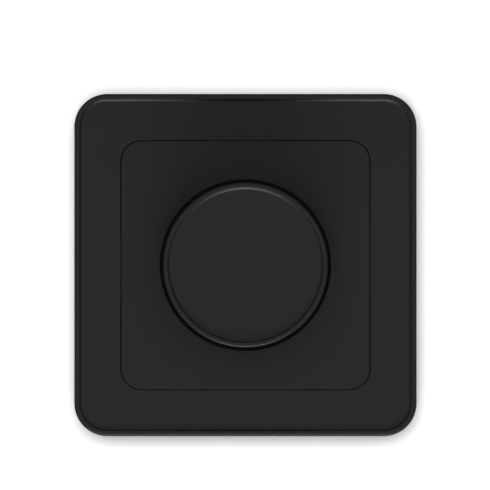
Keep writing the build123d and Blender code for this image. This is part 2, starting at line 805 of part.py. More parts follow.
def terminal_screws():
    """Slotted screws that press the wires in their cages."""
    screws = []
    head_start = block_bottom + terminal_head_sink
    end = cage_bottom + cage_wall + terminal_screw_reach
    for x in terminal_xs:
        screw = turned(
            (0, head_start), (terminal_head_radius, head_start), (terminal_head_radius, terminal_head_y),
            (terminal_screw_radius, terminal_head_y), (terminal_screw_radius, end - terminal_screw_radius / 2),
            (terminal_screw_radius / 2, end), (0, end),
        )
        screw -= block(
            3 * terminal_head_radius, terminal_slot, head_start, head_start + terminal_head_height / 2,
        )
        screws.append(Pos(x, 0, terminal_screw_z) * Rot(X=-90) * screw)
    return screws


# Electronics

def insulating_pad():
    """Thin sheet between the transistors and the support plate."""
    wide = transistor_pitch + transistor_width + 2 * pad_margin
    tall = transistor_top - transistor_bottom + 2 * pad_margin
    pad = block(wide, tall, -pad_thickness, 0, (0, (transistor_top + transistor_bottom) / 2))
    for at in tab_screw_points:
        pad -= disc(tab_screw_radius + screw_clear, -pad_thickness, 0, at)
    return pad


def power_transistors():
    """Two flat packages whose tabs are screwed to the support plate."""
    packages = []
    tab_back = -pad_thickness - transistor_tab_thickness
    body_back = -pad_thickness - transistor_height
    for x in transistor_xs:
        middle = transistor_bottom + transistor_body / 2
        body = block(transistor_width, transistor_body, body_back, -pad_thickness, (x, middle))
        body = fillet(edges_at(body, body_back), transistor_round)
        tab_middle = transistor_top - transistor_tab / 2
        body += block(transistor_width, transistor_tab, tab_back, -pad_thickness, (x, tab_middle))
        body -= disc(tab_screw_radius + screw_clear, tab_back, -pad_thickness, (x, tab_screw_y))
        for n in (-1, 0, 1):
            lead_x = x + n * lead_pitch
            run = transistor_bottom - lead_y + lead_thickness / 2
            run_middle = transistor_bottom - run / 2
            body += block(
                lead_width, run, lead_z - lead_thickness / 2, lead_z + lead_thickness / 2, (lead_x, run_middle),
            )
            body += block(lead_width, lead_thickness, board_back_z, lead_z, (lead_x, lead_y))
        packages.append(body)
    return packages


def transistor_screws():
    top = support_thickness - screw_head_sink
    return [
        countersunk_screw(at, top, tab_screw_radius, tab_screw_head_radius, tab_screw_length)
        for at in tab_screw_points
    ]


def choke_core():
    top = board_back_z - choke_wire
    ring = Circle(choke_outer) - Circle(choke_inner)
    return Pos(choke_at[0], choke_at[1], 0) * slab(ring, top - choke_height, top)


def choke_winding():
    """Sleeve of wire round the core, open where the two ends leave it for the board."""
    top = board_back_z
    bottom = board_back_z - choke_stand
    sleeve = slab(Circle(choke_outer + choke_wire) - Circle(choke_inner - choke_wire), bottom, top)
    sleeve -= sector(2 * choke_outer, 0.1, 180, choke_gap_angle / 2, bottom, top)
    sleeve -= slab(Circle(choke_outer) - Circle(choke_inner), bottom + choke_wire, top - choke_wire)
    winding = Pos(choke_at[0], choke_at[1], 0) * sleeve
    for at in choke_lead_points:
        winding += block(wire_lead, wire_lead, board_back_z, board_top_z, at)
    return winding


def film_capacitor():
    wide, tall, deep = film_capacitor_size
    body = block(wide, tall, board_back_z - deep, board_back_z, film_capacitor_at)
    body = fillet(edges_at(body, board_back_z - deep), component_round)
    for lead in wire_leads(film_capacitor_at):
        body += lead
    return body


def smoothing_capacitor():
    body = disc(smoothing_radius, board_back_z - smoothing_height, board_back_z)
    body = Pos(smoothing_at[0], smoothing_at[1], 0) * fillet(
        edges_at(body, board_back_z - smoothing_height), component_round,
    )
    for lead in wire_leads(smoothing_at):
        body += lead
    return body


def fuse():
    body = disc(fuse_radius, board_back_z - fuse_height, board_back_z)
    body = Pos(fuse_at[0], fuse_at[1], 0) * fillet(edges_at(body, board_back_z - fuse_height), component_round)
    for lead in wire_leads(fuse_at):
        body += lead
    return body


def controller_chip():
    wide, tall, deep = chip_size
    long, out, thick = chip_lead
    chip = block(wide, tall, board_top_z, board_top_z + deep, chip_at)
    for n in (-1.5, -0.5, 0.5, 1.5):
        for side in (-1, 1):
            at = (chip_at[0] + n * chip_lead_pitch, chip_at[1] + side * (tall + out) / 2)
            chip += block(long, out, board_top_z, board_top_z + thick, at)
    return chip


# Stand every piece against the wall and write it out

pieces = [
    cover_frame, centre_plate, knob, knob_clip, bushing_washer, bushing_nut,
    control_bushing, pot_case, resistive_track, pot_pins, wiper_rotor, wiper_contact, control_shaft,
    shaft_retaining_ring, switch_case, switch_plunger, contact_bridge, fixed_contacts, plunger_spring,
    support_plate, insert_housing, housing_screws, circuit_board,
    terminal_block, terminal_clamps, terminal_screws,
    insulating_pad, power_transistors, transistor_screws,
    choke_core, choke_winding, film_capacitor, smoothing_capacitor, fuse, controller_chip,
]

os.makedirs("parts", exist_ok=True)
for piece in pieces:
    made = piece()
    solids = made if isinstance(made, list) else made.solids()
    solids = [Rot(X=90) * solid for part in solids for solid in part.solids()]
    whole = solids[0] if len(solids) == 1 else Compound(children=solids)
    export_step(whole, os.path.join("parts", piece.__name__ + ".step"))
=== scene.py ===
"""Looks of a flush-mounted rotary wall dimmer, in metres, in the frame of its solids."""

import math

import bmesh
import bpy
from mathutils import Matrix, Vector


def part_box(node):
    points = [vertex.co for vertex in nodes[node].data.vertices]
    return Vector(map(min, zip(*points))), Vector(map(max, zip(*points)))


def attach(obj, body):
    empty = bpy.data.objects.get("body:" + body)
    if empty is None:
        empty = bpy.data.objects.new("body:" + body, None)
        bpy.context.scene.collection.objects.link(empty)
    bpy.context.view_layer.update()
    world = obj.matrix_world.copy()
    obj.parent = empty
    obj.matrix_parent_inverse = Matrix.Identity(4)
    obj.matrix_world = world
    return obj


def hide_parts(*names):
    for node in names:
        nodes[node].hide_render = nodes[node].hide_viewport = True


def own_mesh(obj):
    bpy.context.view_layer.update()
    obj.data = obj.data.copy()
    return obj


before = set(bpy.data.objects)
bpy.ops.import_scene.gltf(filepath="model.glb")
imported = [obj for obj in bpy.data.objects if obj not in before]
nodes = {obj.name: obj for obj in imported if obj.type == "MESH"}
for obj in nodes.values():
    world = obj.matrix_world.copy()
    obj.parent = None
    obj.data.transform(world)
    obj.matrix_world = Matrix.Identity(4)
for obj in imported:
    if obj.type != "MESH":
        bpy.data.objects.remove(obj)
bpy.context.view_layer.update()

# Insert housing
# A square tub of dark grey moulded plastic that goes into the wall box. Four vents in its back cool
# the electronics, and screws from the front hold it to the support plate.

MM = 0.001


def soften(piece, angle=30):
    """Smooth faces with sharp edges where they meet at more than an angle, and flat faces kept flat."""
    piece.data.shade_smooth()
    piece.data.set_sharp_from_angle(angle=math.radians(angle))
    even = piece.modifiers.new("Even faces", "WEIGHTED_NORMAL")
    even.keep_sharp = True


def in_scene(name, data):
    """An object in the scene that holds a mesh, a lamp or a camera."""
    thing = bpy.data.objects.new(name, data)
    bpy.context.scene.collection.objects.link(thing)
    return thing


def new_piece(name, shape):
    """A piece with the mesh of a shape, which is then freed."""
    mesh = bpy.data.meshes.new(name)
    shape.to_mesh(mesh)
    shape.free()
    return in_scene(name, mesh)


def dressed(node, body, finish, edge=0.0):
    """Adds a merged copy of a piece's solid, with smooth curves and, where asked, broken edges."""
    shape = bmesh.new()
    shape.from_mesh(nodes[node].data)
    bmesh.ops.remove_doubles(shape, verts=shape.verts, dist=0.001 * MM)
    bmesh.ops.dissolve_limit(
        shape, angle_limit=math.radians(0.5), use_dissolve_boundaries=False,
        verts=shape.verts, edges=shape.edges, delimit=set(),
    )
    piece = new_piece(node + "_dressed", shape)
    if edge:
        broken = piece.modifiers.new("Broken edges", "BEVEL")
        broken.width = edge * MM
        broken.segments = 2
        broken.limit_method = "ANGLE"
        broken.angle_limit = math.radians(40)
    soften(piece, 35)
    piece.data.materials.append(finish)
    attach(piece, body)
    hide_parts(node)


def new_sockets(group, way, *sockets):
    """Gives a node group inputs or outputs, each with a name and a kind."""
    for name, kind in sockets:
        group.interface.new_socket(name, in_out=way, socket_type="NodeSocket" + kind)


def maths(tree, operation, *values):
    """The result of a maths node on values that are sockets or numbers."""
    sums = tree.nodes.new("ShaderNodeMath")
    sums.operation = operation
    for value, socket in zip(values, sums.inputs):
        if isinstance(value, bpy.types.NodeSocket):
            tree.links.new(value, socket)
        else:
            socket.default_value = value
    return sums.outputs[0]


def grain_group():
    """Fine spark-eroded grain of a mould: a height, and a slow change of tone over the surface."""
    group = bpy.data.node_groups.new("Mould grain", "ShaderNodeTree")
    new_sockets(group, "INPUT", ("Grains per metre", "Float"))
    new_sockets(group, "OUTPUT", ("Height", "Float"), ("Tone", "Float"))
    add = group.nodes.new
    link = group.links.new
    given = add("NodeGroupInput")
    made = add("NodeGroupOutput")
    place = add("ShaderNodeTexCoord")
    fine = add("ShaderNodeTexNoise")
    fine.inputs["Detail"].default_value = 3
    fine.inputs["Roughness"].default_value = 0.6
    pits = add("ShaderNodeTexVoronoi")
    pit_share = 0.5
    slow = add("ShaderNodeTexNoise")
    slow.inputs["Scale"].default_value = 45
    slow.inputs["Detail"].default_value = 4
    for texture in (fine, pits, slow):
        link(place.outputs["Object"], texture.inputs["Vector"])
    for texture in (fine, pits):
        link(given.outputs["Grains per metre"], texture.inputs["Scale"])
    height = maths(group, "MULTIPLY_ADD", pits.outputs["Distance"], pit_share, fine.outputs["Fac"])
    link(height, made.inputs["Height"])
    link(slow.outputs["Fac"], made.inputs["Tone"])
    return group


mould_grain = grain_group()


def shade_between(tree, share, dark, light):
    """A colour between two shades by a share from 0 to 1."""
    shade = tree.nodes.new("ShaderNodeMix")
    shade.data_type = "RGBA"
    shade.inputs["A"].default_value = (*dark, 1)
    shade.inputs["B"].default_value = (*light, 1)
    tree.links.new(share, shade.inputs["Factor"])
    return shade.outputs["Result"]


def value_between(tree, share, low, high):
    """A value between two by a share from 0 to 1."""
    spread = tree.nodes.new("ShaderNodeMapRange")
    spread.inputs["To Min"].default_value = low
    spread.inputs["To Max"].default_value = high
    tree.links.new(share, spread.inputs["Value"])
    return spread.outputs["Result"]


def raised(tree, height, strength, depth):
    """A bumped normal from a height."""
    bump = tree.nodes.new("ShaderNodeBump")
    bump.inputs["Strength"].default_value = strength
    bump.inputs["Distance"].default_value = depth * MM
    tree.links.new(height, bump.inputs["Height"])
    return bump.outputs["Normal"]


def new_material(name):
    """A material, its node tree and its surface."""
    material = bpy.data.materials.new(name)
    material.use_nodes = True
    tree = material.node_tree
    return material, tree, tree.nodes["Principled BSDF"]


def set_surface(tree, surface, colour, rough, normal):
    """Links a colour, a roughness and a normal to a surface."""
    for value, name in ((colour, "Base Color"), (rough, "Roughness"), (normal, "Normal")):
        tree.links.new(value, surface.inputs[name])


def moulded_plastic(name, dark, light, rough, grains=9000, depth=0.01, strength=0.15, shine=0.5):
    """Moulded plastic: two near shades, a grain, and a roughness that varies a little."""
    material, tree, surface = new_material(name)
    surface.inputs["Specular IOR Level"].default_value = shine
    grain = tree.nodes.new("ShaderNodeGroup")
    grain.node_tree = mould_grain
    grain.inputs["Grains per metre"].default_value = grains
    tone = grain.outputs["Tone"]
    set_surface(
        tree, surface, shade_between(tree, tone, dark, light), value_between(tree, tone, *rough),
        raised(tree, grain.outputs["Height"], strength, depth),
    )
    return material


housing_grey = moulded_plastic(
    "Housing grey", (0.06, 0.06, 0.065), (0.08, 0.08, 0.085), (0.5, 0.62), grains=5000
)
dressed("insert_housing", "base", housing_grey, edge=0.15)

# Circuit board
# A glass-fibre board with green lacquer over copper tracks. It lies on the shoulders of the housing's
# posts, and small cones of solder hold the leads that pass through it.

def loop_points(half, corner, steps):
    """A square with round corners, or a circle where the corner is half the side, from the front."""
    inner = half - corner
    points = []
    for n, (x, z) in enumerate(((1, 1), (-1, 1), (-1, -1), (1, -1))):
        for step in range(steps + 1):
            turn = math.radians(90 * n + 90 * step / steps)
            points.append((x * inner + corner * math.cos(turn), z * inner + corner * math.sin(turn)))
    return points


def moulding(name, loops, steps=24, closed=True):
    """A skin through loops of half side, corner radius and level out of the wall, in millimetres."""
    shape = bmesh.new()
    rings = []
    for half, corner, level in loops:
        points = loop_points(half, corner, steps)
        rings.append([shape.verts.new((x * MM, -level * MM, z * MM)) for x, z in points])
    pairs = list(zip(rings, rings[1:]))
    if closed:
        pairs.append((rings[-1], rings[0]))
    for one, two in pairs:
        for n in range(len(one)):
            after = (n + 1) % len(one)
            shape.faces.new((one[n], one[after], two[after], two[n]))
    if not closed:
        shape.faces.new(rings[0])
        shape.faces.new(rings[-1])
    bmesh.ops.remove_doubles(shape, verts=shape.verts, dist=0.0005 * MM)
    bmesh.ops.recalc_face_normals(shape, faces=shape.faces)
    return new_piece(name, shape)


def turned(name, section, steps=6):
    """A solid turned about the Y axis from radii and levels out of the wall, in millimetres."""
    return moulding(name, [(r, r, level) for r, level in section], steps, closed=False)


def copies_tree():
    """Copies of a shape at points, each turned about an axis by a step and by chance."""
    tree = bpy.data.node_groups.new("Copies at points", "GeometryNodeTree")
    new_sockets(
        tree, "INPUT", ("Points", "Geometry"), ("Shape", "Object"), ("Axis", "Vector"),
        ("Step", "Float"), ("Spread", "Float"), ("Seed", "Int"), ("Finish", "Material"),
    )
    new_sockets(tree, "OUTPUT", ("Geometry", "Geometry"))
    add = tree.nodes.new
    link = tree.links.new
    given = add("NodeGroupInput")
    made = add("NodeGroupOutput")
    shape = add("GeometryNodeObjectInfo")
    count = add("GeometryNodeInputIndex")
    chance = add("FunctionNodeRandomValue")
    turn = add("FunctionNodeAxisAngleToRotation")
    place = add("GeometryNodeInstanceOnPoints")
    real = add("GeometryNodeRealizeInstances")
    paint = add("GeometryNodeSetMaterial")
    most = next(s for s in chance.inputs if s.name == "Max" and s.type == "VALUE")
    drawn = next(s for s in chance.outputs if s.type == "VALUE")
    link(given.outputs["Spread"], most)
    link(given.outputs["Seed"], chance.inputs["Seed"])
    angle = maths(tree, "MULTIPLY_ADD", count.outputs["Index"], given.outputs["Step"], drawn)
    link(given.outputs["Axis"], turn.inputs["Axis"])
    link(angle, turn.inputs["Angle"])
    link(given.outputs["Shape"], shape.inputs["Object"])
    link(given.outputs["Points"], place.inputs["Points"])
    link(shape.outputs["Geometry"], place.inputs["Instance"])
    link(turn.outputs["Rotation"], place.inputs["Rotation"])
    link(place.outputs["Instances"], real.inputs["Geometry"])
    link(real.outputs["Geometry"], paint.inputs["Geometry"])
    link(given.outputs["Finish"], paint.inputs["Material"])
    link(paint.outputs["Geometry"], made.inputs["Geometry"])
    return tree


copies_at_points = copies_tree()


def keep_result(piece):
    """Keeps what a piece's modifiers make as its plain mesh."""
    seen = piece.evaluated_get(bpy.context.evaluated_depsgraph_get())
    mesh = bpy.data.meshes.new_from_object(seen)
    piece.modifiers.clear()
    piece.data = mesh


def plain_mesh(piece, tree, values):
    """Gives a piece a node tree with its inputs, and keeps the result as a plain mesh."""
    nodes_on = piece.modifiers.new("Made by nodes", "NODES")
    nodes_on.node_group = tree
    for item in tree.interface.items_tree:
        if item.in_out == "INPUT" and item.name in values:
            nodes_on[item.identifier] = values[item.name]
    keep_result(piece)


def copies(name, shape, places, finish, axis=(0, 1, 0), step=0, spread=0, seed=1):
    """Copies of a shape at places given across, out of the wall and up, in millimetres, as one mesh."""
    mesh = bpy.data.meshes.new(name)
    mesh.from_pydata([(x * MM, -out * MM, up * MM) for x, out, up in places], [], [])
    piece = in_scene(name, mesh)
    plain_mesh(piece, copies_at_points, {
        "Shape": shape, "Axis": axis, "Step": math.radians(step), "Spread": math.radians(spread),
        "Seed": seed, "Finish": finish,
    })
    bpy.data.objects.remove(shape)
    soften(piece)
    return piece


def board_lacquer():
    """Green lacquer, paler and a little raised where copper tracks run below it."""
    material, tree, surface = new_material("Board green")
    surface.inputs["Specular IOR Level"].default_value = 0.5
    place = tree.nodes.new("ShaderNodeTexCoord")
    lanes = tree.nodes.new("ShaderNodeTexVoronoi")
    lanes.distance = "CHEBYCHEV"
    lanes.inputs["Scale"].default_value = 330
    lanes.inputs["Randomness"].default_value = 0.7
    track = tree.nodes.new("ShaderNodeMapRange")
    track.inputs["From Min"].default_value = 0.32
    track.inputs["From Max"].default_value = 0.36
    weave = tree.nodes.new("ShaderNodeTexNoise")
    weave.inputs["Scale"].default_value = 2500
    tree.links.new(place.outputs["Object"], lanes.inputs["Vector"])
    tree.links.new(place.outputs["Object"], weave.inputs["Vector"])
    tree.links.new(lanes.outputs["Distance"], track.inputs["Value"])
    lane = track.outputs["Result"]
    set_surface(
        tree, surface, shade_between(tree, lane, (0.02, 0.13, 0.05), (0.012, 0.075, 0.03)),
        value_between(tree, weave.outputs["Fac"], 0.28, 0.42),
        raised(tree, lane, strength=0.4, depth=0.03),
    )
    return material


def streak_group():
    """Drawn or turned lines, and the slow clouds of a plating, as shares from 0 to 1."""
    group = bpy.data.node_groups.new("Metal streaks", "ShaderNodeTree")
    new_sockets(group, "INPUT", ("Stretch", "Vector"))
    new_sockets(group, "OUTPUT", ("Streak", "Float"), ("Cloud", "Float"))
    add = group.nodes.new
    link = group.links.new
    given = add("NodeGroupInput")
    made = add("NodeGroupOutput")
    place = add("ShaderNodeTexCoord")
    pull = add("ShaderNodeVectorMath")
    pull.operation = "MULTIPLY"
    lines = add("ShaderNodeTexNoise")
    lines.inputs["Scale"].default_value = 1
    lines.inputs["Detail"].default_value = 3
    slow = add("ShaderNodeTexNoise")
    slow.inputs["Scale"].default_value = 260
    slow.inputs["Detail"].default_value = 3
    link(place.outputs["Object"], pull.inputs[0])
    link(given.outputs["Stretch"], pull.inputs[1])
    link(pull.outputs[0], lines.inputs["Vector"])
    link(place.outputs["Object"], slow.inputs["Vector"])
    link(lines.outputs["Fac"], made.inputs["Streak"])
    link(slow.outputs["Fac"], made.inputs["Cloud"])
    return group


metal_streaks = streak_group()
ROLLED = (250, 5000, 5000)
TURNED = (300, 9000, 300)


def metal(name, dark, light, rough, stretch, strength=0.12, depth=0.01):
    """Plated or bright metal: two shades in clouds, and lines in its roughness and surface."""
    material, tree, surface = new_material(name)
    surface.inputs["Metallic"].default_value = 1
    lines = tree.nodes.new("ShaderNodeGroup")
    lines.node_tree = metal_streaks
    lines.inputs["Stretch"].default_value = stretch
    streak = lines.outputs["Streak"]
    set_surface(
        tree, surface, shade_between(tree, lines.outputs["Cloud"], dark, light),
        value_between(tree, streak, *rough), raised(tree, streak, strength, depth),
    )
    return material


board_green = board_lacquer()
dressed("circuit_board", "base", board_green, edge=0.1)

tinned_brass = metal("Tinned brass", (0.5, 0.42, 0.24), (0.68, 0.6, 0.4), (0.22, 0.4), ROLLED)
solder_bright = metal("Solder", (0.5, 0.5, 0.52), (0.68, 0.68, 0.7), (0.25, 0.45), (900, 900, 900))
board_front = -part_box("circuit_board")[0].y / MM
board_back = -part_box("circuit_board")[1].y / MM
solder_cone = ((0.95, 0), (0.7, 0.12), (0.5, 0.3), (0.42, 0.5), (0.2, 0.56))
front_joints = [
    (-8.9, 1.0), (-14.1, 1.0), (8.5, -4.85), (13.5, -4.85), (9.0, 7.4), (14.0, 7.4),
    (-2.5, 17.2), (2.5, 17.2),
]
back_joints = [
    (-2.5, -8.45), (0, -8.45), (2.5, -8.45), (-4.75, 0), (4.75, 0),
    (-3.66, 8.7), (3.66, 8.7), (6.2, 8.7),
]
solder_front = copies(
    "solder_front", turned("cone", solder_cone), [(x, board_front, up) for x, up in front_joints],
    solder_bright, spread=360,
)
solder_back = copies(
    "solder_back", turned("cone", [(r, -level) for r, level in solder_cone]),
    [(x, board_back, up) for x, up in back_joints], solder_bright, spread=360,
)
for solder in (solder_front, solder_back):
    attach(solder, "base")

# Choke
# A painted iron-powder ring with one layer of lacquered copper wire wound round it, which keeps the
# lamp quiet. It stands on the board's back by its two leads.

core_paint = moulded_plastic(
    "Core paint", (0.46, 0.38, 0.05), (0.56, 0.47, 0.08), (0.5, 0.65), grains=3500, depth=0.03,
    strength=0.35,
)
dressed("choke_core", "base", core_paint, edge=0.3)

copper_wire = metal(
    "Copper wire", (0.46, 0.15, 0.05), (0.62, 0.25, 0.1), (0.2, 0.32), (3000, 3000, 3000),
    strength=0.05,
)
core_low, core_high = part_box("choke_core")
core_middle = (core_low + core_high) / 2 / MM
core_outer = (core_high.x - core_low.x) / 2 / MM
core_inner = 3.6
core_half = (core_high.y - core_low.y) / 2 / MM
wire_half = 0.29
wire_turns = 32
wire_gap = 50.0


def wire_loop(name, inside, outside, half, wire, corner=0.5, sides=8, corner_steps=4):
    """One turn of wire round the ring's section, standing in the plane across and out of the wall."""
    shape = bmesh.new()
    middle = (inside + outside) / 2
    reach = (outside - inside) / 2 + wire
    rise = half + wire
    rings = []
    for n, (across, out) in enumerate(((1, 1), (-1, 1), (-1, -1), (1, -1))):
        for step in range(corner_steps + 1):
            turn = math.radians(90 * n + 90 * step / corner_steps)
            away = Vector((math.cos(turn), -math.sin(turn), 0))
            at = Vector((middle + across * (reach - corner), -out * (rise - corner), 0)) + away * corner
            ring = []
            for side in range(sides):
                roll = math.tau * side / sides
                point = at + away * wire * math.cos(roll) + Vector((0, 0, wire * math.sin(roll)))
                ring.append(shape.verts.new(point * MM))
            rings.append(ring)
    for n, one in enumerate(rings):
        two = rings[(n + 1) % len(rings)]
        for side in range(sides):
            after = (side + 1) % sides
            shape.faces.new((one[side], one[after], two[after], two[side]))
    bmesh.ops.recalc_face_normals(shape, faces=shape.faces)
    return new_piece(name, shape)


first_turn = 180 + wire_gap / 2
turn_shape = wire_loop("turn", core_inner, core_outer, core_half, wire_half)
turn_shape.data.transform(Matrix.Rotation(math.radians(first_turn), 4, "Y"))
ring_middle = (core_middle.x, -core_middle.y, core_middle.z)
winding = copies(
    "choke_turns", turn_shape, [ring_middle] * wire_turns, copper_wire,
    step=(360 - wire_gap) / (wire_turns - 1),
)
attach(winding, "base")
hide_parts("choke_winding")

# Capacitors, fuse and controller chip
# A yellow moulded box, an aluminium can in a dark sleeve, a round black fuse and a small black
# package, all soldered to the board.

def place_along(tree, axis):
    """The place of a point along an axis, in metres."""
    place = tree.nodes.new("ShaderNodeTexCoord")
    apart = tree.nodes.new("ShaderNodeSeparateXYZ")
    tree.links.new(place.outputs["Object"], apart.inputs[0])
    return apart.outputs[axis]


def share_along(tree, axis, start, end):
    """A share that goes from 0 to 1 between two places along an axis, in millimetres."""
    spread = tree.nodes.new("ShaderNodeMapRange")
    spread.inputs["From Min"].default_value = start * MM
    spread.inputs["From Max"].default_value = end * MM
    tree.links.new(place_along(tree, axis), spread.inputs["Value"])
    return spread.outputs["Result"]


def part_metal(name, dark, bright, share_of, rough, grains=7000, strength=0.12, depth=0.01):
    """One material that is plastic where a share is 0 and metal where it is 1, with a light grain."""
    material, tree, surface = new_material(name)
    share = share_of(tree)
    grain = tree.nodes.new("ShaderNodeGroup")
    grain.node_tree = mould_grain
    grain.inputs["Grains per metre"].default_value = grains
    tree.links.new(share, surface.inputs["Metallic"])
    set_surface(
        tree, surface, shade_between(tree, share, dark, bright), value_between(tree, share, *rough),
        raised(tree, grain.outputs["Height"], strength, depth),
    )
    return material


box_yellow = moulded_plastic(
    "Capacitor yellow", (0.42, 0.27, 0.02), (0.48, 0.33, 0.025), (0.28, 0.36), grains=3000,
    strength=0.06,
)
package_black = moulded_plastic(
    "Package black", (0.013, 0.013, 0.014), (0.018, 0.018, 0.019), (0.42, 0.55), grains=11000,
    strength=0.2,
)
can_low, can_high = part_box("smoothing_capacitor")
can_end = can_high.y / MM
can_side = can_low.x / MM
bare_end = 0.2
stripe_depth = 0.4
sleeve_blend = 0.05


def can_bare(tree):
    """The can's bare end, and a pale stripe down one side of its sleeve."""
    end_start = can_end - bare_end
    stripe_edge = can_side + stripe_depth
    end = share_along(tree, "Y", end_start - sleeve_blend, end_start)
    stripe = share_along(tree, "X", stripe_edge + sleeve_blend, stripe_edge)
    return maths(tree, "MAXIMUM", end, stripe)


can_sleeve = part_metal("Can sleeve", (0.02, 0.022, 0.05), (0.6, 0.6, 0.62), can_bare, (0.3, 0.34))
dressed("film_capacitor", "base", box_yellow, edge=0.1)
dressed("smoothing_capacitor", "base", can_sleeve)
dressed("fuse", "base", package_black)
dressed("controller_chip", "base", package_black, edge=0.08)

# Terminals
# A light grey moulded block at the lower back, with four brass cages for the wires. A slotted screw
# below each cage clamps its wire.

terminal_grey = moulded_plastic(
    "Terminal grey", (0.27, 0.28, 0.29), (0.33, 0.34, 0.35), (0.45, 0.55), grains=5000
)
dressed("terminal_block", "base", terminal_grey, edge=0.12)
dressed("terminal_clamps", "base", tinned_brass, edge=0.08)

zinc = metal("Zinc plating", (0.5, 0.51, 0.53), (0.63, 0.64, 0.66), (0.28, 0.46), ROLLED)
screw_zinc = metal("Screw plating", (0.5, 0.51, 0.53), (0.66, 0.67, 0.69), (0.25, 0.42), TURNED)


def slotted(piece, width, reach, top, depth, count=1):
    """Cuts one slot or a cross into the front of a turned screw head, sizes in millimetres."""
    for n in range(count):
        shape = bmesh.new()
        bmesh.ops.create_cube(shape, size=1)
        place = Matrix.Rotation(math.radians(90 * n), 4, "Y")
        place = place @ Matrix.Translation((0, -top * MM, 0))
        place = place @ Matrix.Diagonal((2 * reach * MM, 2 * depth * MM, width * MM, 1))
        bmesh.ops.transform(shape, matrix=place, verts=shape.verts)
        blade = new_piece("blade", shape)
        cut = piece.modifiers.new("Slot", "BOOLEAN")
        cut.object = blade
        cut.solver = "EXACT"
        keep_result(piece)
        bpy.data.objects.remove(blade)


def threaded(radius, start, end, pitch, depth, point=0.3):
    """Section of a thread as rings, from a level to a level out of the wall, in millimetres."""
    section = []
    turns = int(abs(end - start) / pitch)
    way = 1 if end > start else -1
    for n in range(turns):
        section.append((radius, start + way * n * pitch))
        section.append((radius - depth, start + way * (n + 0.5) * pitch))
    return section + [(radius, start + way * turns * pitch), (radius - point, end)]


terminal_low, terminal_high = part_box("terminal_screws")
terminal_out = -(terminal_low.y + terminal_high.y) / 2 / MM
terminal_head = terminal_low.z / MM
terminal_length = (terminal_high.z - terminal_low.z) / MM
terminal_radius = 1.8
terminal_depth = 1.8
terminal_section = [(1.5, 0), (terminal_radius, -0.25), (terminal_radius, -terminal_depth)]
terminal_section += threaded(
    radius=1.25, start=-terminal_depth - 0.05, end=-terminal_length, pitch=0.5, depth=0.2
)
terminal_shape = turned("screw", terminal_section, steps=8)
slotted(terminal_shape, width=0.7, reach=2.2, top=0, depth=0.9)
terminal_shape.data.transform(Matrix.Rotation(math.radians(90), 4, "X"))
terminal_places = (-8.25, -2.75, 2.75, 8.25)
terminal_screws = copies(
    "terminal_screws_slotted", terminal_shape,
    [(x, terminal_out, terminal_head) for x in terminal_places], screw_zinc, axis=(0, 0, 1),
    spread=170, seed=4,
)
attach(terminal_screws, "base")
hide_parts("terminal_screws")

# Push switch
# A black moulded box under the control. Pushing the knob moves a plunger with a brass bridge on to
# two fixed contacts, and a coil spring brings it back.

control_black = moulded_plastic(
    "Control black", (0.025, 0.025, 0.03), (0.034, 0.034, 0.04), (0.45, 0.58), grains=6000
)
natural = moulded_plastic(
    "Natural plastic", (0.56, 0.54, 0.48), (0.64, 0.62, 0.56), (0.4, 0.5), grains=4000
)
dressed("switch_case", "base", control_black, edge=0.12)
dressed("switch_plunger", "plunger", natural, edge=0.1)
dressed("contact_bridge", "plunger", tinned_brass)
dressed("fixed_contacts", "base", tinned_brass, edge=0.06)


def coil_tree():
    """A coil of round wire about the Y axis, from its turns, radius, length and wire."""
    tree = bpy.data.node_groups.new("Coil", "GeometryNodeTree")
    new_sockets(
        tree, "INPUT", ("Start", "Geometry"), ("Turns", "Float"), ("Radius", "Float"),
        ("Length", "Float"), ("Wire", "Float"), ("Place", "Vector"), ("Finish", "Material"),
    )
    new_sockets(tree, "OUTPUT", ("Geometry", "Geometry"))
    add = tree.nodes.new
    link = tree.links.new
    given = add("NodeGroupInput")
    made = add("NodeGroupOutput")
    path = add("GeometryNodeCurveSpiral")
    path.inputs["Resolution"].default_value = 40
    profile = add("GeometryNodeCurvePrimitiveCircle")
    profile.inputs["Resolution"].default_value = 10
    sweep = add("GeometryNodeCurveToMesh")
    sweep.inputs["Fill Caps"].default_value = True
    lay = add("GeometryNodeTransform")
    lay.inputs["Rotation"].default_value = (math.radians(90), 0, 0)
    real = add("GeometryNodeRealizeInstances")
    paint = add("GeometryNodeSetMaterial")
    link(given.outputs["Turns"], path.inputs["Rotations"])
    link(given.outputs["Radius"], path.inputs["Start Radius"])
    link(given.outputs["Radius"], path.inputs["End Radius"])
    link(given.outputs["Length"], path.inputs["Height"])
    link(given.outputs["Wire"], profile.inputs["Radius"])
    link(path.outputs["Curve"], sweep.inputs["Curve"])
    link(profile.outputs["Curve"], sweep.inputs["Profile Curve"])
    link(sweep.outputs["Mesh"], lay.inputs["Geometry"])
    link(given.outputs["Place"], lay.inputs["Translation"])
    link(lay.outputs["Geometry"], real.inputs["Geometry"])
    link(real.outputs["Geometry"], paint.inputs["Geometry"])
    link(given.outputs["Finish"], paint.inputs["Material"])
    link(paint.outputs["Geometry"], made.inputs["Geometry"])
    return tree


coil = coil_tree()


def coil_piece(name, turns, radius, back, front, wire, finish):
    """A coil between two levels along the Y axis, in metres."""
    piece = in_scene(name, bpy.data.meshes.new(name))
    plain_mesh(piece, coil, {
        "Turns": turns, "Radius": radius, "Length": back - front - 2 * wire, "Wire": wire,
        "Place": (0, back - wire, 0), "Finish": finish,
    })
    soften(piece, 50)
    return piece


